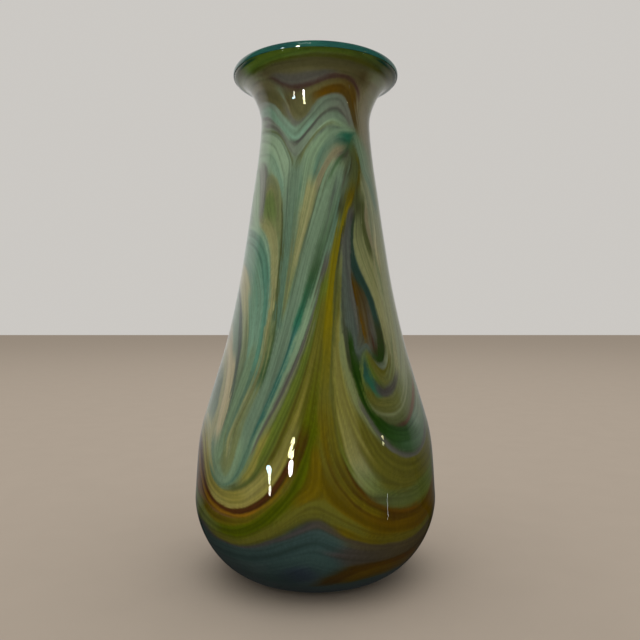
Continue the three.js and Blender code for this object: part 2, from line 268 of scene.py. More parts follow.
CENTRE_STREAMS = [
    ("ivy", "slate", 0.4, [(13, 238), (6, 226), (0.4, 213), (-7.6, 190), (-13.4, 166)]),
    ("slate", "plum", 0.4, [(20, 226), (14.4, 214), (1, 178), (-6.4, 156)]),
    ("slate", "ivy", 0.3, [(-7, 146), (-18, 115), (-25.6, 94)]),
    ("lichen", "jade", 2.6, [(-19, 234), (-24, 150)]),
    ("mint", "lichen", 1.6, [(-26, 236), (-27, 224), (-26, 208)]),
    ("jade", "drab", 0.4, [(-12.6, 228), (-17, 203), (-22, 162)]),
    ("tan", "drab", 1.2, [(-6, 226), (-15, 190), (-21, 153)]),
    ("tan", "tan", 0.9, [(0, 226), (-4, 215), (-15, 181)]),
    ("drab", "jade", 0.6, [(1, 218), (-8.4, 194), (-15.4, 171), (-18, 159)]),
    ("lichen", "lichen", 1.5, [(-18, 159), (-26, 116), (-31, 95), (-33, 85)]),
    ("sage", "lichen", 1.8, [(18, 238), (10, 227), (-6, 190), (-15, 156)]),
    ("lichen", "lichen", 1.4, [(-15, 156), (-22, 125)]),
    ("lichen", "forest", 0.8, [(24, 232), (8, 196), (0, 175)]),
    ("forest", "emerald", 1, [(0, 175), (-11, 147)]),
    ("lagoon", "lagoon", 0.55, [(-10.6, 147), (-19, 120), (-28.6, 93), (-31, 85)]),
    ("jade", "sage", 0.8, [(22, 219), (7, 184), (-5, 152)]),
    ("sage", "sage", 0.8, [(-5, 152), (-16, 122), (-27, 92), (-30, 83)]),
    ("plum", "plum", 0.6, [(9, 184), (-2, 152), (-16.4, 112), (-24.4, 92), (-28, 82)]),
    ("drab", "drab", 0.4, [(2.4, 160), (-7.8, 130), (-23, 90)]),
    ("plum", "drab", 0.4, [(2, 155), (-2.4, 144), (-13.4, 113), (-26, 84)]),
    ("moss", "moss", 1.1, [(6, 172), (-6, 127)]),
    ("moss", "moss", 1.3, [(-6, 127), (-9, 117), (-22.4, 79)]),
    ("olive", "olive", 1.1, [(5, 160), (-6, 115), (-15.4, 85), (-19.4, 76)]),
    ("olive", "mustard", 0.5, [(3.4, 150), (-1.6, 128), (-7, 107), (-10, 97)]),
    ("olive", "lime", 1.1, [(4, 134), (-2.6, 89)]),
]
STEM_STREAMS = [
    ("ivy", "ivy", 1.8, [(41, 250), (43, 243), (42, 235), (37, 218), (37, 210)]),
    ("olive", "ochre", 1.4, [(46, 244), (46, 236), (42, 229), (31.4, 217)]),
    ("yellow", "yellow", 0.7, [(31.4, 217), (26, 210), (22, 201), (15.6, 182), (11, 162)]),
    ("yellow", "olive", 1.2, [(11, 162), (8, 142), (4, 110)]),
    ("olive", "ochre", 1.6, [(4, 110), (4, 100), (5.4, 80)]),
    ("olive", "yellow", 0.4, [(27, 215), (19, 197), (10.6, 165), (6.6, 142)]),
    ("ivy", "olive", 0.5, [(20.4, 192), (14.6, 170), (8.6, 122), (8.8, 98), (10, 87)]),
    ("drab", "olive", 1, [(21, 186), (15, 154)]),
    ("soot", "soot", 0.8, [(38, 241), (34, 234), (28, 227), (20, 210)]),
    ("soot", "plum", 0.8, [(33, 236), (25, 225)]),
    ("lichen", "lichen", 0.8, [(36, 239), (27, 225), (23, 217)]),
    ("soot", "soot", 0.5, [(34, 221), (29, 215), (25, 207.6), (17.6, 181)]),
]
RIGHT_STREAMS = [
    ("sand", "sand", 1.1, [(15, 152), (13, 140), (14, 116), (19, 95), (27, 78)]),
    ("drab", "drab", 0.8, [(17, 164), (16, 138), (19, 115), (26, 96), (30, 88)]),
    ("slate", "soot", 1.1, [(21, 178), (19, 150), (20, 126)]),
    ("plum", "slate", 1.2, [(36, 213), (31, 210), (28, 202), (25, 191), (24, 166), (25, 139)]),
    ("plum", "slate", 1, [(23, 196), (22, 184), (21.6, 144)]),
    ("slate", "plum", 0.9, [(30, 204), (26, 181), (28, 142)]),
    ("grape", "plum", 0.7, [(33, 210), (29, 201), (27, 190), (25.6, 176), (25.4, 160)]),
    ("soot", "night", 0.9, [(40, 213), (35, 208), (31, 201), (30, 193), (30, 184)]),
    ("night", "night", 1.5, [(30, 184), (33, 177), (41, 163), (44.4, 148)]),
    ("soot", "pine", 1.5, [(44, 148), (44, 140), (43, 133), (40, 129), (38, 129.6)]),
    ("brown", "rust", 0.7, [(28, 173), (29, 164), (30.6, 155), (32.6, 139)]),
    ("bark", "plum", 1.4, [(34, 166), (37, 157), (39, 140)]),
    ("rust", "plum", 0.6, [(32, 168), (35, 160), (36, 150), (35.4, 140), (36.6, 133)]),
    ("oxblood", "wine", 0.7, [(37.6, 141), (37.6, 136), (38, 132)]),
    ("bark", "slate", 1.1, [(30, 158), (28.6, 140), (26, 134)]),
    ("slate", "slate", 1, [(24, 139), (25.4, 133), (31.6, 136.4), (35, 132)]),
    ("drab", "tan", 2.2, [(37, 206), (35, 196), (38, 186), (47, 166), (50, 155)]),
    ("tan", "drab", 1.8, [(50, 155), (51.6, 134), (49.6, 126), (46, 120)]),
    ("ivy", "ivy", 0.9, [(47, 218), (44, 210), (44, 201), (49, 188)]),
    ("clay", "clay", 1.1, [(50, 214), (48, 207), (50, 199), (53, 191)]),
    ("stone", "stone", 2.4, [(50, 232), (54, 222), (56, 210), (56, 198)]),
    ("sage", "lichen", 2, [(46, 252), (50, 243), (53, 234), (60, 228), (66, 216)]),
    ("blush", "tan", 2, [(60, 202), (58, 190), (59, 178)]),
    ("drab", "drab", 0.6, [(53, 196), (54.6, 184), (57, 172), (57.6, 160), (56.6, 148)]),
    ("stone", "tan", 2.6, [(64, 212), (62, 164), (56, 127)]),
    ("stone", "stone", 2.6, [(78, 226), (72, 170), (66, 138), (60, 126)]),
    ("tan", "stone", 1.6, [(84, 180), (80, 158), (74, 142), (66, 128), (57, 117)]),
    ("pine", "pine", 0.8, [(21, 141), (21, 130), (25, 110), (28, 101), (33, 94)]),
    ("leaf", "moss", 0.4, [(31.6, 133.4), (29, 131), (27, 125), (26, 117), (27, 109), (29.6, 103.6)]),
    ("night", "emerald", 1, [(29, 128), (29.4, 121), (33, 112)]),
    ("moss", "moss", 0.9, [(31, 130), (32, 124), (36, 115)]),
    ("olive", "drab", 0.7, [(31, 132), (34, 125), (37.4, 118.4), (41, 116.4), (45, 117.6), (48.6, 122),
     (53, 131), (57, 142)]),
    ("olive", "olive", 1, [(34, 130), (37, 124), (41, 121), (45, 123), (49, 129)]),
    ("slate", "stone", 0.9, [(37, 127), (40, 125), (44, 126), (47, 131)]),
    ("grape", "plum", 1.1, [(35, 114), (38, 111), (42, 111), (46, 113), (51, 118)]),
    ("olive", "drab", 1.8, [(29, 111), (32, 106), (43, 105.4), (49, 109), (55, 116)]),
    ("drab", "stone", 0.6, [(28, 106), (31.6, 101.4), (37, 100), (44, 100), (51, 104), (58, 111.6),
     (66, 122)]),
    ("ivy", "drab", 1.1, [(34, 99), (39, 96), (46, 97), (53, 101), (60, 108), (68, 118)]),
    ("wine", "mauve", 0.6, [(44, 92.6), (50, 94), (56, 98.4), (70, 113)]),
    ("lichen", "stone", 1.2, [(58, 94), (66, 98), (74, 106), (84, 118)]),
    ("pine", "forest", 1.8, [(31, 97), (35, 92), (41, 89), (49, 88), (54, 90)]),
    ("forest", "lichen", 1.6, [(46, 84), (53, 84), (60, 86), (68, 92), (78, 102)]),
    ("plum", "plum", 0.5, [(23, 106), (27, 97.6), (36, 84), (42, 79), (48, 77), (55, 77.4), (63, 82),
     (72, 92)]),
]
SWAG_STREAMS = [
    ("umber", "umber", 0.4, [(4, 84), (7, 73), (11.6, 64), (18, 55.6), (26, 49), (34, 45.6), (44, 43.6)]),
    ("umber", "rust", 0.3, [(10, 76), (14, 67), (19, 59.6), (26, 53.6), (33, 49.6), (43, 47), (56, 47)]),
    ("umber", "rust", 0.3, [(-66, 60), (-60, 53), (-52, 49), (-44, 47), (-36, 47), (-28, 49), (-21, 54)]),
    ("beige", "tan", 1.4, [(-90, 96), (-70, 94), (-61, 87), (-57.4, 78), (-53.6, 70)]),
    ("sage", "sage", 0.8, [(-51.6, 86), (-51.6, 77), (-50, 73.6), (-47, 79), (-46, 88)]),
    ("lichen", "sage", 1.2, [(-55, 88), (-55, 78), (-52, 70), (-47, 65), (-43, 64), (-38.6, 69),
     (-34.4, 85)]),
    ("stone", "drab", 1.1, [(-41, 84), (-43.6, 71)]),
    ("drab", "drab", 1, [(-47, 92), (-46, 82), (-44, 74), (-40.6, 78), (-39, 88)]),
    ("jade", "drab", 0.6, [(-57, 70), (-53, 65), (-47, 61.6), (-41, 61.4), (-35.4, 64.6), (-31, 71),
     (-27.6, 79), (-24.6, 88)]),
    ("jade", "jade", 0.9, [(-44, 62), (-38, 66), (-34.6, 73), (-29, 90)]),
    ("sand", "mustard", 1, [(-33.6, 66), (-28.6, 73), (-22, 90)]),
    ("ivy", "moss", 0.6, [(-40, 60.6), (-33, 63), (-27.6, 68), (-23, 76), (-19, 85), (-16, 93)]),
    ("straw", "mustard", 1.5, [(-90, 92), (-70, 86), (-64, 79), (-60, 71), (-55, 62), (-47, 57), (-39, 56),
     (-31, 58)]),
    ("straw", "sand", 1.8, [(-31, 58), (-24, 65), (-18, 73), (-14, 83), (-11, 92)]),
    ("straw", "mustard", 0.6, [(-56, 57.6), (-48, 54), (-40, 52.6), (-32, 54), (-25, 59), (-19, 66),
     (-14, 76), (-11, 85)]),
    ("oxblood", "oxblood", 0.75, [(-90, 81), (-76, 79.4), (-70, 75), (-64.6, 66.4), (-59, 58.6),
     (-52, 53)]),
    ("oxblood", "oxblood", 0.5, [(-52, 53), (-44, 50.4), (-37, 50), (-30, 52), (-23.6, 56.6), (-18, 62.6),
     (-13.6, 70), (-10, 78)]),
    ("oxblood", "umber", 0.4, [(-10, 78), (-7.4, 86), (-5.4, 94)]),
    ("amber", "amber", 0.7, [(-90, 76), (-74, 72), (-67, 64), (-60, 55.4), (-52, 50), (-44, 48), (-37, 48),
     (-30, 49.4), (-23, 53.6)]),
    ("amber", "rust", 0.5, [(-23, 53.6), (-17, 59.6), (-12.6, 67), (-9, 75.6)]),
    ("mauve", "mauve", 0.5, [(-76, 68), (-68, 58.6), (-60, 51.6), (-52, 47.4), (-44, 46), (-37, 46)]),
    ("clay", "mauve", 1.6, [(-90, 70), (-78, 63), (-70, 56)]),
    ("ochre", "olive", 1.3, [(-58, 47), (-48, 43.6), (-32, 45), (-19, 55.6), (-13, 63), (-9, 72)]),
    ("umber", "umber", 0.7, [(-9, 72), (-6, 82), (-3.6, 92)]),
    ("drab", "lime", 1.8, [(-90, 52), (-54, 40), (-44, 38)]),
    ("lime", "lime", 2.2, [(-44, 38), (-36, 39), (-28, 43), (-21, 49), (-14.6, 57)]),
    ("lime", "lime", 1.8, [(-14.6, 57), (-10, 65), (-6, 75), (-1, 94)]),
    ("ochre", "ochre", 2.2, [(-5, 60), (-1, 64), (0.4, 72), (0.6, 82)]),
    ("olive", "olive", 1.4, [(-52, 33), (-42, 33), (-34, 34), (-26, 38), (-18, 43), (-4, 55), (1, 56),
     (6, 53)]),
    ("olive", "olive", 1.1, [(-5, 52), (0, 53), (5, 51), (20, 41)]),
    ("ochre", "olive", 1.8, [(12, 43), (20, 38), (30, 34.6), (50, 33.4), (62, 37)]),
    ("olive", "bronze", 1.2, [(2.6, 86), (5, 76), (8, 68), (13, 60), (19, 52), (26, 47)]),
    ("bronze", "bronze", 1.8, [(26, 47), (34, 43), (43, 42), (52, 42), (62, 46), (74, 54)]),
    ("ochre", "bronze", 1, [(4, 68), (8, 60), (14, 53), (29, 41.6), (48, 38), (58, 40), (68, 46)]),
    ("olive", "ochre", 0.9, [(6, 90), (8, 79), (12, 69), (17, 60), (24, 53), (31, 49)]),
    ("umber", "bronze", 0.8, [(31, 49), (40, 46), (50, 46), (60, 49), (72, 57)]),
    ("umber", "copper", 0.35, [(12, 78), (15.6, 69), (20.6, 61), (27, 54.6), (35, 50), (43, 48.4),
     (52, 48.4)]),
    ("olive", "moss", 0.4, [(8, 106), (9, 96), (10.4, 86), (13, 77), (16.4, 70)]),
    ("sand", "tan", 1.4, [(14, 102), (18, 81), (21, 73)]),
    ("drab", "moss", 1.4, [(20, 73), (25, 66), (31, 60), (38, 57)]),
    ("ivy", "moss", 2, [(30, 58), (47, 56), (57, 58), (66, 61)]),
    ("olive", "olive", 0.8, [(29, 65), (33, 63), (40, 61), (50, 61)]),
    ("olive", "olive", 1.8, [(22, 94), (25, 84), (29, 76), (35, 70), (43, 66), (52, 66), (62, 69)]),
    ("olive", "olive", 1.4, [(27, 90), (31, 82), (37, 76), (45, 72), (54, 72), (64, 76), (76, 85)]),
]
BASE_STREAMS = [
    ("grape", "grape", 0.7, [(-66, 36), (-56, 32.6), (-46, 30.4), (-36, 30), (-27, 32), (-18, 36.4),
     (-4, 44.2)]),
    ("grape", "bark", 1, [(-4, 44), (1, 47), (6, 43.6), (22, 34), (43, 29.8), (54, 31), (66, 36)]),
    ("petrol", "petrol", 2.8, [(-90, 26), (-40, 25), (-22, 28), (-10, 34), (0, 38), (8, 34)]),
    ("steel", "steel", 2.6, [(-70, 17), (-44, 17), (-30, 18), (-22, 21)]),
    ("petrol", "navy", 2.4, [(-22, 15), (-14, 16), (-8, 19)]),
    ("petrol", "petrol", 2.6, [(-24, 20), (-12, 25), (-2, 28), (6, 25)]),
    ("grape", "bark", 2.2, [(8, 31), (18, 28), (30, 26), (44, 26), (58, 27)]),
    ("umber", "umber", 0.6, [(2, 10), (8, 15), (16, 19.4), (26, 21.4), (38, 22), (52, 23.6), (66, 27)]),
    ("umber", "brown", 1, [(8, 11), (14, 15), (22, 19), (32, 20), (58, 21.6)]),
    ("bronze", "bronze", 1.5, [(18, 13), (25, 15), (34, 17), (46, 17), (60, 18)]),
    ("steel", "steel", 3, [(-90, 6), (0, 5), (90, 6)]),
]
STREAMS = [
    *COLLAR_STREAMS,
    *NECK_STREAMS,
    *LEFT_STREAMS,
    *CENTRE_STREAMS,
    *STEM_STREAMS,
    *RIGHT_STREAMS,
    *SWAG_STREAMS,
    *BASE_STREAMS,
]


# ---------------------------------------------------------------- sections, read from the frame

ON_AXIS = 1e-5  # m within which a vertex counts as lying in the section plane
FINE = 0.35  # mm between the points of a smoothed section
AIR = 0.35  # mm that the CAD leaves between its layers
BURIED = 0.25  # mm by which the clear casing reaches into the colour, so that no air shows between them
FOOT_EDGE = 36.0  # mm from the axis to the outer edge of the flat foot
BASE_TOP = 15.0  # mm below which what lies inside the foot's edge belongs to the base


def section_of(node):
    """The node's section at azimuth 0, in mm, as a chain of (radius, height) from its lowest axis point.

    A section that doesn't reach the axis is a closed loop, and starts at its lowest point.
    """
    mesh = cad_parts[node].data
    here = {}
    for vertex in mesh.vertices:
        x, y, z = vertex.co
        if abs(x) < ON_AXIS and y < ON_AXIS:
            here[vertex.index] = (round(-y / MM, 3), round(z / MM, 3))
    beside = {}
    for edge in mesh.edges:
        a, b = edge.vertices
        if a in here and b in here and here[a] != here[b]:
            beside.setdefault(here[a], set()).add(here[b])
            beside.setdefault(here[b], set()).add(here[a])
    ends = [point for point in beside if point[0] < 0.01] or list(beside)
    chain = [min(ends, key=lambda point: point[1])]
    while True:
        onward = [point for point in beside[chain[-1]] if point not in chain]
        if not onward:
            return np.array(chain)
        chain.append(max(onward, key=lambda point: point[0] if len(chain) == 1 else 0))


def ways_up(chain):
    """The outer and the inner way from a section's foot to its rim. Each runs up."""
    rim = int(chain[:, 1].argmax())
    return chain[: rim + 1], chain[rim:][::-1]


def lengths(points):
    """Distance along a chain of points to each of them."""
    return np.concatenate([[0.0], np.cumsum(np.linalg.norm(np.diff(points, axis=0), axis=1))])


def smooth_route(points, parts=5):
    """A Catmull-Rom curve through the points, with each span cut into parts."""
    points = np.asarray(points, float)
    ends = np.vstack([2 * points[0] - points[1], points, 2 * points[-1] - points[-2]])
    share = np.linspace(0, 1, parts, endpoint=False)[:, None]
    spans = []
    for before, start, end, after in zip(ends[:-3], ends[1:-2], ends[2:-1], ends[3:]):
        bend = 2 * before - 5 * start + 4 * end - after
        twist = 3 * (start - end) + after - before
        spans.append(start + 0.5 * share * (end - before + share * (bend + share * twist)))
    return np.vstack([*spans, points[-1:]])


def smooth_section(points, corners=()):
    """A fine even section through the points, kept sharp at the corners."""
    stops = [0, *[i for i, point in enumerate(points) if tuple(point) in corners], len(points) - 1]
    parts = [smooth_route(points[a : b + 1], 30) for a, b in zip(stops[:-1], stops[1:]) if b > a]
    even = []
    for part in parts:
        along = lengths(part)
        count = max(2, int(along[-1] / FINE))
        marks = np.linspace(0, along[-1], count)
        even.append(np.stack([np.interp(marks, along, part[:, 0]), np.interp(marks, along, part[:, 1])], 1))
    return np.vstack([even[0], *[part[1:] for part in even[1:]]])


def moved_out(section, distance):
    """A section moved along its normals, away from the glass inside it."""
    run = np.gradient(section, axis=0)
    run /= np.linalg.norm(run, axis=1)[:, None]
    moved = section + distance * np.stack([run[:, 1], -run[:, 0]], 1)
    moved[:, 0] = np.maximum(moved[:, 0], 0)
    moved[0, 0] = 0  # it still starts on the axis
    return moved


def outline_marks(section, outline):
    """For each point of a section, how far along the outer outline its nearest point lies, in mm."""
    along = lengths(outline)
    start = FOOT_EDGE - np.interp(FOOT_EDGE, outline[:, 0], along)
    nearest = [int(((outline - point) ** 2).sum(1).argmin()) for point in section]
    marks = along[nearest] + start
    flat = (section[:, 0] < FOOT_EDGE) & (section[:, 1] < BASE_TOP)
    marks[flat] = section[flat, 0]
    return np.maximum.accumulate(marks) + np.arange(len(marks)) * 1e-6


# ---------------------------------------------------------------- shells of glass


def azimuths(columns):
    """Azimuths of the columns of a shell, in degrees: 0 faces the front, and 90 is to the viewer's right."""
    return np.arange(columns) * 360.0 / columns


def ring(radius, height, azimuth):
    """One ring of points, in metres. radius and height in mm may be numbers or one value for each azimuth."""
    angle = np.radians(azimuth)
    return MM * np.stack([radius * np.sin(angle), -radius * np.cos(angle), height + 0 * angle], 1)


def shell(name, rings, sharp=(), closed=False):
    """A surface of quads through rings of points, with the rings numbered in sharp kept as hard edges.

    A first or last ring of radius 0 is closed to a point. closed joins the last ring to the first.
    """
    columns = len(rings[0])
    points = np.vstack(rings)
    count = len(rings)
    low = np.arange(count if closed else count - 1)
    column = np.arange(columns)
    beside = (column + 1) % columns
    high = (low + 1) % count
    corners = [
        low[:, None] * columns + column,
        low[:, None] * columns + beside,
        high[:, None] * columns + beside,
        high[:, None] * columns + column,
    ]
    quads = np.stack(corners, -1).reshape(-1, 4)
    mesh = bpy.data.meshes.new(name)
    mesh.vertices.add(len(points))
    mesh.vertices.foreach_set("co", points.astype(np.float32).ravel())
    mesh.loops.add(quads.size)
    mesh.loops.foreach_set("vertex_index", quads.ravel().astype(np.int32))
    mesh.polygons.add(len(quads))
    mesh.polygons.foreach_set("loop_start", np.arange(0, quads.size, 4, dtype=np.int32))
    mesh.update(calc_edges=True)
    mesh.validate()
    mark_sharp(mesh, columns, sharp)
    piece = bpy.data.objects.new(name, mesh)
    bpy.context.scene.collection.objects.link(piece)
    return piece


def mark_sharp(mesh, columns, sharp):
    """Keeps the edges along the numbered rings hard, and the rest of the surface smooth."""
    ends = np.empty(len(mesh.edges) * 2, np.int32)
    mesh.edges.foreach_get("vertices", ends)
    ring_of = ends.reshape(-1, 2) // columns
    hard = (ring_of[:, 0] == ring_of[:, 1]) & np.isin(ring_of[:, 0], list(sharp))
    attribute = mesh.attributes.new("sharp_edge", "BOOLEAN", "EDGE")
    attribute.data.foreach_set("value", hard)


def close_poles(piece):
    """Merges the rings that have shrunk to a point on the axis."""
    weld = piece.modifiers.new("poles", "WELD")
    weld.merge_threshold = 2e-6
    bake_modifiers(piece)


def bake_modifiers(piece):
    """Leaves the piece as its modifiers show it."""
    evaluated = piece.evaluated_get(bpy.context.evaluated_depsgraph_get())
    mesh = bpy.data.meshes.new_from_object(evaluated)
    piece.modifiers.clear()
    piece.data = mesh
    mesh.name = piece.name


# ---------------------------------------------------------------- the pattern's field

COLUMNS = 640  # columns of the pattern round the vase
ROW_STEP = 0.7  # mm of outline from one row of the pattern to the next
REACH = 24.0  # mm to which a stream colours the glass round it
EDGE_SOFTNESS = 0.3  # mm over which the colours of touching streams run into each other
FRAY = 0.5  # mm by which streaks push a stream's edge aside
STREAK_TONE = 0.08  # share by which streaks lighten and darken the glass
THREAD_START = 0.9  # streaks this strong turn into dark threads
THREAD_TONE = 0.26  # share by which a thread darkens the glass
CALM_BASE = (65.0, 95.0)  # mm along the outline between which the streaks grow from faint to full
CALM_SHARE = 0.3  # share of the streaks' tone that is left below them
FALLOFF = 2.2  # how fast a stream's share of the glass falls with distance, as a power of its square
STREAK_DRAG = 22  # cells to each side over which a streak is pulled out
THREAD_DRAG = 34  # and a thread
COLOUR_DRAG = 4  # and the colour, away from the sides of the vase and at them
SIDE_DRAG = 20
FLOW_SOFTENING = 3  # blurs of the flow, away from the sides and at them
SIDE_SOFTENING = 16
SIDE_WIDTH = 13  # degrees over which front and back run into each other
FAR = 1e9  # mm squared: a distance to no stream


class Field:
    """Sums of the streams' colours and directions over the unrolled outer surface."""

    def __init__(self, marks, radius):
        """marks and radius are each row's distance along the outline and from the axis, in mm."""
        self.marks = marks
        self.radius = radius
        self.step = 360.0 / COLUMNS
        shape = (len(marks), COLUMNS)
        self.weight = np.full(shape, 1e-9)
        self.colour = np.zeros((*shape, 3))
        self.direction = np.zeros(shape, complex)

    def add(self, start_colour, end_colour, half_width, route):
        """Adds one stream. route is (azimuth in degrees, distance along the outline in mm)."""
        curve = smooth_route(route)
        low_row = np.searchsorted(self.marks, curve[:, 1].min() - REACH)
        high_row = np.searchsorted(self.marks, curve[:, 1].max() + REACH)
        radius = self.radius[low_row:high_row]
        if not len(radius):
            return
        margin = np.degrees(REACH / radius.mean())
        left = int((curve[:, 0].min() - margin) // self.step)
        right = int((curve[:, 0].max() + margin) // self.step)
        columns = np.arange(left, right + 1)[:COLUMNS]
        azimuth = columns * self.step
        nearest = np.full((len(radius), len(columns)), FAR)
        along = np.zeros(nearest.shape)
        heading = np.ones(nearest.shape, complex)
        per_degree = np.radians(radius)[:, None]
        up = self.marks[low_row:high_row, None]
        for number, (start, end) in enumerate(zip(curve[:-1], curve[1:])):
            first = np.searchsorted(up[:, 0], min(start[1], end[1]) - REACH)
            last = np.searchsorted(up[:, 0], max(start[1], end[1]) + REACH)
            rows = slice(first, last)
            scale = per_degree[rows]
            across = (azimuth[None, :] - start[0]) * scale
            rise = up[rows] - start[1]
            step_across = (end[0] - start[0]) * scale
            step_rise = end[1] - start[1]
            length = step_across**2 + step_rise**2
            share = np.clip((across * step_across + rise * step_rise) / length, 0, 1)
            distance = (across - share * step_across) ** 2 + (rise - share * step_rise) ** 2
            closer = distance < nearest[rows]
            nearest[rows] = np.where(closer, distance, nearest[rows])
            along[rows] = np.where(closer, (number + share) / (len(curve) - 1), along[rows])
            turn = (step_across + 1j * step_rise) / np.sqrt(length)
            heading[rows] = np.where(closer, turn * np.ones(across.shape), heading[rows])
        weight = (half_width**2 / (nearest + EDGE_SOFTNESS**2)) ** FALLOFF
        weight[nearest == FAR] = 0
        place = np.ix_(np.arange(low_row, high_row), columns % COLUMNS)
        self.weight[place] += weight
        blend = along[..., None]
        self.colour[place] += weight[..., None] * ((1 - blend) * start_colour + blend * end_colour)
        self.direction[place] += weight * heading**2

    def beside(self):
        """For each column, 1 at the vase's two sides, where front and back meet, and 0 away from them."""
        azimuth = np.arange(COLUMNS) * self.step
        return np.exp(-(((azimuth % 180 - 90) / SIDE_WIDTH) ** 2))

    def combed(self):
        """The finished pattern: colours dragged along the flow, frayed into streaks and a little uneven."""
        heading = self.direction / np.abs(self.direction).clip(1e-12)
        side = self.beside()
        flow = (1 - side) * soften(heading, FLOW_SOFTENING) + side * soften(heading, SIDE_SOFTENING)
        flow /= np.abs(flow).clip(1e-12)
        per_column = self.radius * 2 * np.pi / COLUMNS
        streaks = np.random.default_rng(7).normal(size=(*flow.shape, 2))
        streaks[..., 0] = soften(streaks[..., 0], 1)
        streaks = drag(streaks, flow, per_column, STREAK_DRAG)
        streaks /= streaks.std((0, 1))
        laid = self.colour / self.weight[..., None]
        colour = (1 - side[:, None]) * drag(laid, flow, per_column, COLOUR_DRAG)
        colour += side[:, None] * drag(laid, flow, per_column, SIDE_DRAG)
        aside = np.sqrt(flow) * 1j * FRAY * streaks[..., 0]
        row, column = np.indices(flow.shape).astype(float)
        row += aside.imag / ROW_STEP
        column += aside.real / per_column[:, None]
        calm = np.interp(self.marks, CALM_BASE, (CALM_SHARE, 1))[:, None, None]
        threads = drag(streaks[..., 1:], flow, per_column, THREAD_DRAG)
        threads /= threads.std()
        tone = 1 + calm * (STREAK_TONE * threads - THREAD_TONE * (threads - THREAD_START).clip(0, 1))
        return sample(colour, row, column) * tone


def sample(grid, row, column):
    """Values of a grid between its rows and round its columns."""
    row = np.clip(row, 0, grid.shape[0] - 1.001)
    low = np.floor(row).astype(int)
    left = np.floor(column).astype(int)
    up = row - low
    right = column - left
    if grid.ndim == 3:
        up = up[..., None]
        right = right[..., None]
    left = left % COLUMNS
    beside = (left + 1) % COLUMNS
    below = grid[low, left] * (1 - right) + grid[low, beside] * right
    above = grid[low + 1, left] * (1 - right) + grid[low + 1, beside] * right
    return below * (1 - up) + above * up


def drag(grid, double_angle, per_column, steps):
    """Smears a grid along the flow, as glass smears when it is pulled. per_column is in mm for each row."""
    rows, columns = np.indices(double_angle.shape).astype(float)
    total = grid.copy()
    for way in (1, -1):
        row = rows.copy()
        column = columns.copy()
        heading = np.sqrt(double_angle) * way
        for _ in range(steps):
            row = np.clip(row + heading.imag / ROW_STEP, 0, len(grid) - 1.001)
            column = column + heading.real / per_column[row.astype(int)]
            new = np.sqrt(double_angle[row.round().astype(int), column.round().astype(int) % COLUMNS])
            heading = np.where((new * heading.conjugate()).real < 0, -new, new)
            total += sample(grid, row, column)
    return total / (2 * steps + 1)


def soften(grid, times):
    """Blurs a grid a little, round the vase and up it."""
    for _ in range(times):
        grid = (np.roll(grid, 1, 1) + 2 * grid + np.roll(grid, -1, 1)) / 4
        grid[1:-1] = (grid[:-2] + 2 * grid[1:-1] + grid[2:]) / 4
    return grid


# ---------------------------------------------------------------- the layers of glass, as sections

casing_out, casing_in = ways_up(section_of("clear_casing"))
lining_out, lining_in = ways_up(section_of("inner_gather"))
# The corners of the casing's outline: the pontil hollow ends at one, and the flat foot at the next.
PONTIL_RIM = tuple(casing_out[3])
FOOT_RIM = tuple(casing_out[4])

OUTLINE = smooth_section(casing_out, [PONTIL_RIM, FOOT_RIM])
CASING_INSIDE = smooth_section(casing_in)
LINING_OUTSIDE = smooth_section(lining_out)
LINING_INSIDE = smooth_section(lining_in)
COLOUR_OUTSIDE = moved_out(CASING_INSIDE, -AIR)
COLOUR_INSIDE = moved_out(LINING_OUTSIDE, AIR)
OUTLINE_MARKS = outline_marks(OUTLINE, OUTLINE)
COLOUR_MARKS = outline_marks(COLOUR_OUTSIDE, OUTLINE)
COLOUR_INSIDE_MARKS = outline_marks(COLOUR_INSIDE, OUTLINE)


def at_mark(section, marks, where):
    """Radius and height of a section at distances along the outer outline."""
    return np.interp(where, marks, section[:, 0]), np.interp(where, marks, section[:, 1])


# ---------------------------------------------------------------- the colour bands' edges

BANDS = ["base_colour_cup", "swag_colour_band", "body_colour_band", "neck_colour_band", "collar_colour_band"]
ON_FACE = 0.3  # mm squared from the bands' outer face within which a vertex lies on it
NEAR_AXIS = 10.0  # mm from the axis within which a vertex is no edge of a band


def carried_round(angles, values):
    """Values known at even angles, carried smoothly to every column of the pattern."""
    spectrum = np.fft.rfft(values) / len(values)
    spectrum[1:] *= 2
    turn = np.radians(azimuths(COLUMNS) - angles[0])
    waves = np.exp(1j * np.arange(len(spectrum))[:, None] * turn)
    return (spectrum[:, None] * waves).real.sum(0)


def edges_of(node):
    """How far along the outline the band's lower and upper edges lie, for each of the pattern's columns."""
    points = np.array([vertex.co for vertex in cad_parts[node].data.vertices]) / MM
    radius = np.hypot(points[:, 0], points[:, 1])
    away = ((np.stack([radius, points[:, 2]], 1)[:, None] - COLOUR_OUTSIDE) ** 2).sum(2)
    marks = COLOUR_MARKS[away.argmin(1)]
    on_face = (away.min(1) < ON_FACE) & (radius > NEAR_AXIS)
    azimuth = np.degrees(np.arctan2(points[:, 0], -points[:, 1])) % 360
    columns = (azimuth * RING_COLUMNS / 360).round().astype(int) % RING_COLUMNS
    own = [marks[on_face & (columns == column)] for column in range(RING_COLUMNS)]
    angles = azimuths(RING_COLUMNS)
    return carried_round(angles, [m.min() for m in own]), carried_round(angles, [m.max() for m in own])


def band_edges():
    """The bands' shared edges from the foot up. Each joint lies midway across its gap in the CAD."""
    edges = [edges_of(band) for band in BANDS]
    joints = [(below[1] + above[0]) / 2 for below, above in zip(edges[:-1], edges[1:])]
    return [np.zeros(COLUMNS), *joints, edges[-1][1]]


# ---------------------------------------------------------------- the pieces

WANDER_TURN = 60.0  # mm of height in which the unevenness of a plain shell turns by a radian
WANDER_CALM = 40.0  # mm from the axis within which it fades


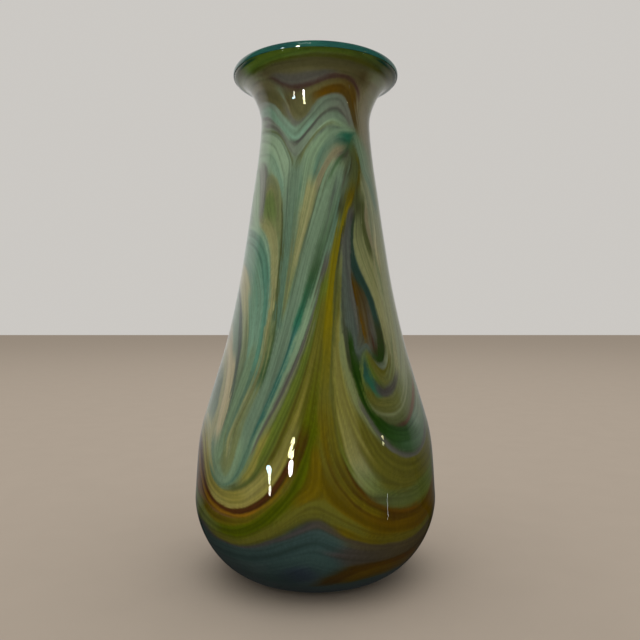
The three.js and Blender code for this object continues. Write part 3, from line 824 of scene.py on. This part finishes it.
def colour_band(node, low, high, pattern):
    """A closed shell of coloured glass between two edges, with the pattern stored on its vertices."""
    height = float((high - low).max())
    outer_rows = np.linspace(0, 1, int(height / ROW_STEP) + 1)
    inner_rows = np.linspace(1, 0, int(height / INNER_STEP) + 2)
    azimuth = azimuths(COLUMNS)
    rings = []
    marks = []
    for share in outer_rows:
        marks.append(low + share * (high - low))
        rings.append(ring(*at_mark(COLOUR_OUTSIDE, COLOUR_MARKS, marks[-1]), azimuth))
    for share in inner_rows:
        marks.append(low + share * (high - low))
        rings.append(ring(*at_mark(COLOUR_INSIDE, COLOUR_INSIDE_MARKS, marks[-1]), azimuth))
    closes = low.max() == 0
    first_inner = len(outer_rows)
    sharp = [first_inner - 1, first_inner] + ([] if closes else [0, len(rings) - 1])
    piece = shell(PIECES[node], rings, sharp, closed=not closes)
    colours = pattern_at(pattern, np.concatenate(marks), np.tile(azimuth, len(rings)))
    paint(piece, colours)
    if closes:
        close_poles(piece)
    return piece


def paint(piece, colours):
    """Stores the pattern's colours on the piece's vertices."""
    layer = piece.data.attributes.new(PATTERN, "FLOAT_COLOR", "POINT")
    opaque = np.concatenate([colours, np.ones((len(colours), 1))], 1)
    layer.data.foreach_set("color", opaque.astype(np.float32).ravel())


def is_among(point, corners):
    """Whether a point of a section is one of the corners."""
    return any(np.allclose(point, corner) for corner in corners)


def plain_shell(node, section, sharp_points=(), closed=False, unevenness=0.0):
    """A full turn of a section, as glass drawn by hand: its radius wanders a little on the way round."""
    azimuth = azimuths(SMOOTH_COLUMNS)
    angle = np.radians(azimuth)
    rings = []
    for radius, height in section:
        turn = height / WANDER_TURN
        wander = np.sin(2 * angle + turn)
        wander += 0.6 * np.sin(3 * angle - 1.7 * turn)
        wander += 0.4 * np.sin(5 * angle + 2.3 * turn)
        wander *= unevenness * min(radius / WANDER_CALM, 1)
        rings.append(ring(radius + wander, height, azimuth))
    sharp = [number for number, point in enumerate(section) if is_among(point, sharp_points)]
    piece = shell(PIECES[node], rings, sharp, closed)
    if not closed:
        close_poles(piece)
    return piece


# ---------------------------------------------------------------- materials


def new_material(name):
    """An empty node material, its nodes and its links."""
    material = bpy.data.materials.new(name)
    material.use_nodes = True
    nodes = material.node_tree.nodes
    nodes.clear()
    return material, nodes, material.node_tree.links


def add(nodes, kind, settings=None, **values):
    """Adds a node. settings are its own properties, and values its inputs, with _ for a space."""
    node = nodes.new(kind)
    for key, value in (settings or {}).items():
        setattr(node, key, value)
    for key, value in values.items():
        node.inputs[key.replace("_", " ")].default_value = value
    return node


def noise(nodes, links, scale, detail=3.0, roughness=0.5, stretch=(1, 1, 1)):
    """Noise over the object in metres, stretched along its axes."""
    place = add(nodes, "ShaderNodeTexCoord")
    mapping = add(nodes, "ShaderNodeMapping", Scale=stretch)
    texture = add(nodes, "ShaderNodeTexNoise", Scale=scale, Detail=detail, Roughness=roughness)
    links.new(place.outputs["Object"], mapping.inputs["Vector"])
    links.new(mapping.outputs["Vector"], texture.inputs["Vector"])
    return texture.outputs["Fac"]


def ranged(nodes, links, value, low, high, start=0.0, end=1.0, shape="LINEAR"):
    """Maps a value from start..end to low..high."""
    settings = {"interpolation_type": shape}
    node = add(nodes, "ShaderNodeMapRange", settings, From_Min=start, From_Max=end, To_Min=low, To_Max=high)
    links.new(value, node.inputs["Value"])
    return node.outputs["Result"]


def scaled(nodes, links, colour, factor):
    """A colour made lighter or darker by a factor."""
    node = add(nodes, "ShaderNodeVectorMath", {"operation": "SCALE"})
    links.new(colour, node.inputs[0])
    links.new(factor, node.inputs["Scale"])
    return node.outputs["Vector"]


def bump(nodes, links, height, distance, strength=1.0):
    """Turns a height into a bumped normal."""
    node = add(nodes, "ShaderNodeBump", Strength=strength, Distance=distance)
    links.new(height, node.inputs["Height"])
    return node.outputs["Normal"]


def two_tones(nodes, links, value, start, dark, end, light):
    """A colour ramp from a dark tone at one value to a light tone at another."""
    tones = add(nodes, "ShaderNodeValToRGB")
    for element, position, tone in zip(tones.color_ramp.elements, (start, end), (dark, light)):
        element.position = position
        element.color = (*tone, 1)
    links.new(value, tones.inputs["Fac"])
    return tones.outputs["Color"]


def product(nodes, links, one, other):
    """Two values multiplied."""
    node = add(nodes, "ShaderNodeMath", {"operation": "MULTIPLY"})
    links.new(one, node.inputs[0])
    links.new(other, node.inputs[1])
    return node.outputs["Value"]


def coloured_glass(name):
    """Opaque streaked glass under the clear casing: the combed pattern with the painted light in its colours,
    and clouds and fine seed in it.
    """
    material, nodes, links = new_material(name)
    out = add(nodes, "ShaderNodeOutputMaterial")
    glass = add(nodes, "ShaderNodeBsdfPrincipled", Roughness=0.42, IOR=1.5)
    glass.inputs["Specular IOR Level"].default_value = 0.0
    pattern = add(nodes, "ShaderNodeAttribute", {"attribute_name": PATTERN})
    clouds = ranged(nodes, links, noise(nodes, links, 28, 3, 0.5, (1, 1, 0.5)), 0.9, 1.1, 0.3, 0.7)
    seed = ranged(nodes, links, noise(nodes, links, 700, 2, 0.6, (1, 1, 0.3)), 0.93, 1.07, 0.3, 0.7)
    colour = scaled(nodes, links, pattern.outputs["Color"], clouds)
    colour = scaled(nodes, links, colour, seed)
    links.new(colour, glass.inputs["Base Color"])
    links.new(glass.outputs["BSDF"], out.inputs["Surface"])
    return material


def clear_glass():
    """Thick clear casing: bends what is seen through it, lets light reach the colour, and shines."""
    material, nodes, links = new_material("clear casing glass")
    out = add(nodes, "ShaderNodeOutputMaterial")
    ripple = bump(nodes, links, noise(nodes, links, 24, 2, 0.4), 0.0006, 0.35)
    fresnel = add(nodes, "ShaderNodeFresnel", IOR=GLASS_IOR)
    bends = add(nodes, "ShaderNodeBsdfRefraction", Color=(0.985, 1.0, 0.985, 1), Roughness=0.0, IOR=GLASS_IOR)
    passes = add(nodes, "ShaderNodeBsdfTransparent", Color=(0.97, 0.985, 0.97, 1))
    shines = add(nodes, "ShaderNodeBsdfGlossy", Color=(1, 1, 1, 1))
    foot = foot_mask(nodes, links)
    links.new(ranged(nodes, links, foot, 0.015, 0.5), shines.inputs["Roughness"])
    path = add(nodes, "ShaderNodeLightPath")
    through = add(nodes, "ShaderNodeMixShader")
    whole = add(nodes, "ShaderNodeMixShader")
    links.new(path.outputs["Is Camera Ray"], through.inputs["Fac"])
    links.new(passes.outputs["BSDF"], through.inputs[1])
    links.new(bends.outputs["BSDF"], through.inputs[2])
    not_shadow = ranged(nodes, links, path.outputs["Is Shadow Ray"], 1, 0)
    links.new(product(nodes, links, fresnel.outputs["Fac"], not_shadow), whole.inputs["Fac"])
    links.new(through.outputs["Shader"], whole.inputs[1])
    links.new(shines.outputs["BSDF"], whole.inputs[2])
    for shader in (fresnel, bends, shines):
        links.new(ripple, shader.inputs["Normal"])
    links.new(whole.outputs["Shader"], out.inputs["Surface"])
    return material


def foot_mask(nodes, links):
    """1 on the ground ring that the vase stands on, 0 elsewhere."""
    place = add(nodes, "ShaderNodeTexCoord")
    parts = add(nodes, "ShaderNodeSeparateXYZ")
    across = add(nodes, "ShaderNodeVectorMath", {"operation": "MULTIPLY"})
    across.inputs[1].default_value = (1, 1, 0)
    radius = add(nodes, "ShaderNodeVectorMath", {"operation": "LENGTH"})
    links.new(place.outputs["Object"], parts.inputs["Vector"])
    links.new(place.outputs["Object"], across.inputs[0])
    links.new(across.outputs["Vector"], radius.inputs[0])
    low = ranged(nodes, links, parts.outputs["Z"], 1, 0, 0.0001, 0.0004)
    wide = ranged(nodes, links, radius.outputs["Value"], 0, 1, 0.0178, 0.0182)
    return product(nodes, links, low, wide)


def opal_glass():
    """Milky lining glass, with faint clouds and a wet shine."""
    material, nodes, links = new_material("opal lining glass")
    out = add(nodes, "ShaderNodeOutputMaterial")
    glass = add(nodes, "ShaderNodeBsdfPrincipled", Roughness=0.08, IOR=1.5)
    clouds = noise(nodes, links, 30, 4, 0.55, (1, 1, 0.35))
    tones = two_tones(nodes, links, clouds, 0.3, (0.50, 0.53, 0.44), 0.7, (0.66, 0.67, 0.58))
    links.new(tones, glass.inputs["Base Color"])
    links.new(bump(nodes, links, noise(nodes, links, 30, 2), 0.0005, 0.3), glass.inputs["Normal"])
    links.new(glass.outputs["BSDF"], out.inputs["Surface"])
    return material


def teal_glass():
    """Solid teal glass of the lip, darker and lighter along its wrap."""
    material, nodes, links = new_material("teal lip glass")
    out = add(nodes, "ShaderNodeOutputMaterial")
    glass = add(nodes, "ShaderNodeBsdfPrincipled", Roughness=0.05, IOR=1.5)
    glass.inputs["Coat Weight"].default_value = 0.3
    glass.inputs["Coat Roughness"].default_value = 0.02
    clouds = noise(nodes, links, 22, 4, 0.6, (1, 1, 2.0))
    tones = two_tones(nodes, links, clouds, 0.32, (0.008, 0.040, 0.038), 0.7, (0.018, 0.088, 0.060))
    links.new(tones, glass.inputs["Base Color"])
    links.new(bump(nodes, links, noise(nodes, links, 45, 2), 0.0004, 0.35), glass.inputs["Normal"])
    links.new(glass.outputs["BSDF"], out.inputs["Surface"])
    return material


def floor_finish():
    """Pale warm matte floor with a barely seen grain."""
    material, nodes, links = new_material("pale floor")
    out = add(nodes, "ShaderNodeOutputMaterial")
    paint_coat = add(nodes, "ShaderNodeBsdfPrincipled", Roughness=0.7)
    paint_coat.inputs["Specular IOR Level"].default_value = 0.0
    grain = ranged(nodes, links, noise(nodes, links, 30, 4), 0.97, 1.03)
    tone = add(nodes, "ShaderNodeRGB")
    tone.outputs[0].default_value = FLOOR_COLOUR
    links.new(scaled(nodes, links, tone.outputs["Color"], grain), paint_coat.inputs["Base Color"])
    links.new(paint_coat.outputs["BSDF"], out.inputs["Surface"])
    return material


# ---------------------------------------------------------------- floor, light and camera


def floor():
    """A pale floor wide enough to fill the view."""
    mesh = bpy.data.meshes.new("floor")
    half = FLOOR_HALF
    corners = [(-half, -half, 0), (half, -half, 0), (half, half, 0), (-half, half, 0)]
    mesh.from_pydata(corners, [], [(0, 1, 2, 3)])
    piece = bpy.data.objects.new("floor", mesh)
    bpy.context.scene.collection.objects.link(piece)
    mesh.materials.append(floor_finish())
    piece.visible_glossy = False


def surroundings():
    """A pale room for the eye and for soft light, and a dim one in the mirror of the glass."""
    world = bpy.data.worlds.new("room")
    bpy.context.scene.world = world
    world.use_nodes = True
    nodes = world.node_tree.nodes
    links = world.node_tree.links
    nodes.clear()
    out = add(nodes, "ShaderNodeOutputWorld")
    shown = add(nodes, "ShaderNodeBackground", Color=WALL_COLOUR, Strength=1.0)
    mirrored = add(nodes, "ShaderNodeBackground", Color=MIRRORED_ROOM, Strength=1.0)
    path = add(nodes, "ShaderNodeLightPath")
    mix = add(nodes, "ShaderNodeMixShader")
    links.new(path.outputs["Is Glossy Ray"], mix.inputs["Fac"])
    links.new(shown.outputs["Background"], mix.inputs[1])
    links.new(mirrored.outputs["Background"], mix.inputs[2])
    links.new(mix.outputs["Shader"], out.inputs["Surface"])


def wall_card():
    """The bright wall behind the vase, as the glass mirrors it: it fades out at its ends and the floor."""
    half_width, low, high, distance = WALL_CARD
    mesh = bpy.data.meshes.new("wall card")
    corners = [(-half_width, distance, low), (half_width, distance, low)]
    corners += [(half_width, distance, high), (-half_width, distance, high)]
    mesh.from_pydata(corners, [], [(0, 1, 2, 3)])
    card = bpy.data.objects.new("wall_card", mesh)
    bpy.context.scene.collection.objects.link(card)
    material, nodes, links = new_material("wall in the glass")
    out = add(nodes, "ShaderNodeOutputMaterial")
    glow = add(nodes, "ShaderNodeEmission", Color=(1.0, 0.99, 0.96, 1))
    place = add(nodes, "ShaderNodeTexCoord")
    parts = add(nodes, "ShaderNodeSeparateXYZ")
    links.new(place.outputs["Object"], parts.inputs["Vector"])
    aside = add(nodes, "ShaderNodeMath", {"operation": "ABSOLUTE"})
    links.new(parts.outputs["X"], aside.inputs[0])
    upward = ranged(nodes, links, parts.outputs["Z"], 0, 1, low, low + WALL_FADE, "SMOOTHSTEP")
    middle = ranged(nodes, links, aside.outputs["Value"], WALL_MIDDLE, 1, *WALL_MIDDLE_EDGES)
    ends = ranged(nodes, links, aside.outputs["Value"], 1, 0, WALL_ENDS, half_width, "SMOOTHSTEP")
    strength = ranged(nodes, links, parts.outputs["X"], WALL_LEFT, WALL_RIGHT, -WALL_TURN, WALL_TURN)
    for factor in (upward, middle, ends):
        strength = product(nodes, links, strength, factor)
    links.new(strength, glow.inputs["Strength"])
    links.new(glow.outputs["Emission"], out.inputs["Surface"])
    material.cycles.emission_sampling = "NONE"
    mesh.materials.append(material)
    card.visible_camera = False
    card.visible_diffuse = False
    card.visible_shadow = False
    card.visible_transmission = False


def area_light(name, azimuth, distance, height, size, radiance, colour=(1, 1, 1), aim=None, roll=0):
    """A flat light facing the vase, or a height on its axis. azimuth and roll in degrees, the rest in metres.

    One that is rolled is an ellipse, like a gap in leaves, and the others are rectangles.
    """
    lamp = bpy.data.lights.new(name, "AREA")
    lamp.shape = "ELLIPSE" if roll else "RECTANGLE"
    lamp.size, lamp.size_y = size
    lamp.energy = radiance * math.pi * size[0] * size[1]
    lamp.color = colour
    holder = bpy.data.objects.new(name, lamp)
    bpy.context.scene.collection.objects.link(holder)
    angle = math.radians(azimuth)
    holder.location = (distance * math.sin(angle), -distance * math.cos(angle), height)
    look = Vector((0, 0, height if aim is None else aim)) - holder.location
    turned = look.to_track_quat("-Z", "Y") @ Quaternion((0, 0, 1), math.radians(roll))
    holder.rotation_euler = turned.to_euler()
    holder.visible_camera = False
    return holder


def lights(vase):
    """Soft lights that the glass doesn't mirror, one from above for all, and panes that only show in it."""
    for name, azimuth, distance, height, size, radiance, aim in SOFT_LIGHTS:
        lamp = area_light(name, azimuth, distance, height, size, radiance, aim=aim)
        lamp.visible_glossy = False
        lamp.light_linking.receiver_collection = vase
    area_light("overhead", 0, 0.01, 2.6, (2.6, 2.6), OVERHEAD, aim=0).visible_glossy = False
    for name, azimuth, distance, height, size, radiance, colour, roll in MIRRORED_LIGHTS:
        lamp = area_light(name, azimuth, distance, height, size, radiance, colour, roll=roll)
        lamp.visible_diffuse = False
        lamp.light_linking.receiver_collection = vase


def camera():
    """The viewer's eye: level, in front of the vase at half its height."""
    lens = bpy.data.cameras.new("camera")
    lens.sensor_width = SENSOR
    lens.lens = LENS
    lens.clip_start = 0.01
    eye = bpy.data.objects.new("camera", lens)
    eye.location = EYE
    eye.rotation_euler = (math.radians(90), 0, 0)
    bpy.context.scene.collection.objects.link(eye)
    bpy.context.scene.camera = eye
    bpy.context.scene.view_settings.view_transform = "Standard"


# ---------------------------------------------------------------- the combed pattern


def on_the_front(azimuth, z):
    """A point of a stream as it was laid."""
    return azimuth, z


def on_the_back(azimuth, z):
    """The point's mirror image on the back, moved further from it the nearer it is to the back's middle."""
    middle = math.cos(math.radians(azimuth)) * math.sin(math.pi * np.clip(z / HEIGHT, 0, 1))
    stretch = BACK_STRETCH * math.sin(2 * math.radians(azimuth))
    twist = BACK_TWIST * middle**2 * math.cos(2 * math.pi * z / HEIGHT)
    return 180 - azimuth - stretch + twist, z - BACK_SAG * middle


def comb():
    """The pattern as a grid of colours: rows up the outline from the foot, columns round the vase."""
    rows = np.arange(FOOT_EDGE, OUTLINE_MARKS[-1], ROW_STEP)
    radius, _ = at_mark(OUTLINE, OUTLINE_MARKS, rows)
    side = OUTLINE_MARKS > FOOT_EDGE
    field = Field(rows, radius)
    for laying in (on_the_front, on_the_back):
        for start, end, half_width, route in STREAMS:
            points = [laying(azimuth, z) for azimuth, z in route]
            laid = [(azimuth, np.interp(z, OUTLINE[side, 1], OUTLINE_MARKS[side])) for azimuth, z in points]
            field.add(np.array(PALETTE[start]), np.array(PALETTE[end]), half_width, laid)
    return glass_colour_and_painted_light(field.combed())


def glass_colour_and_painted_light(shown):
    """The glass's colour in linear light, with the painted light that the shown colours carry, from the
    colour it shows in sRGB from 0 to 255.
    """
    linear = ((shown / 255.0).clip(0) + 0.055) / 1.055
    return (linear**2.4 - HAZE).clip(0.0005) * GAIN


def pattern_at(pattern, marks, azimuth):
    """The pattern's colours at places on the vase. Under the foot they fade into their mean."""
    row = (marks - FOOT_EDGE) / ROW_STEP
    colours = sample(pattern, row, azimuth * COLUMNS / 360.0)
    under = np.clip(marks / FOOT_EDGE, 0, 1)[:, None] ** 2
    mean = pattern[:FOOT_ROWS].mean((0, 1))
    return under * colours + (1 - under) * mean


# ---------------------------------------------------------------- assembly


def place(piece, node, slot, material):
    """Puts a finished piece on the body in the place of its CAD node."""
    piece.data.materials.clear()
    piece.data.materials.append(material)
    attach(piece, "root")
    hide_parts(node)
    VASE.objects.link(piece)


def build_colour():
    """The five colour bands, cut from one pattern."""
    pattern = comb()
    edges = band_edges()
    slots = ["base_glass", "swag_glass", "body_glass", "neck_glass", "collar_glass"]
    for node, slot, low, high in zip(BANDS, slots, edges[:-1], edges[1:]):
        place(colour_band(node, low, high, pattern), node, slot, coloured_glass(slot.replace("_", " ")))


def build_clear_casing():
    """The clear outer layer, with its ground foot ring and the pontil hollow in it."""
    inside = moved_out(CASING_INSIDE, -AIR - BURIED)[::-1]
    section = np.vstack([thinned(OUTLINE, (PONTIL_RIM, FOOT_RIM)), thinned(inside)])
    piece = plain_shell("clear_casing", section, (PONTIL_RIM, FOOT_RIM, OUTLINE[-1]), unevenness=0.06)
    place(piece, "clear_casing", "clear_glass", clear_glass())


def build_lining():
    """The opal inner layer, up to its rounded end in the lip."""
    section = np.vstack([thinned(LINING_OUTSIDE), thinned(LINING_INSIDE[::-1])])
    piece = plain_shell("inner_gather", section, (LINING_OUTSIDE[-1], LINING_INSIDE[-1]))
    place(piece, "inner_gather", "opal_glass", opal_glass())


def build_lip():
    """The teal wrap melted over the rim."""
    points = section_of("lip_wrap")
    section = smooth_route(np.vstack([points, points[:1]]), 4)[:-1]
    piece = plain_shell("lip_wrap", section, closed=True, unevenness=0.04)
    place(piece, "lip_wrap", "lip_glass", teal_glass())


def thinned(section, kept=()):
    """Every few points of a fine section, and the ones that must be kept."""
    last = len(section) - 1
    chosen = [
        point
        for number, point in enumerate(section)
        if number % THINNING == 0 or number == last or is_among(point, kept)
    ]
    return np.array(chosen)


VASE = bpy.data.collections.new("vase")
build_colour()
build_clear_casing()
build_lining()
build_lip()
floor()
surroundings()
wall_card()
lights(VASE)
camera()
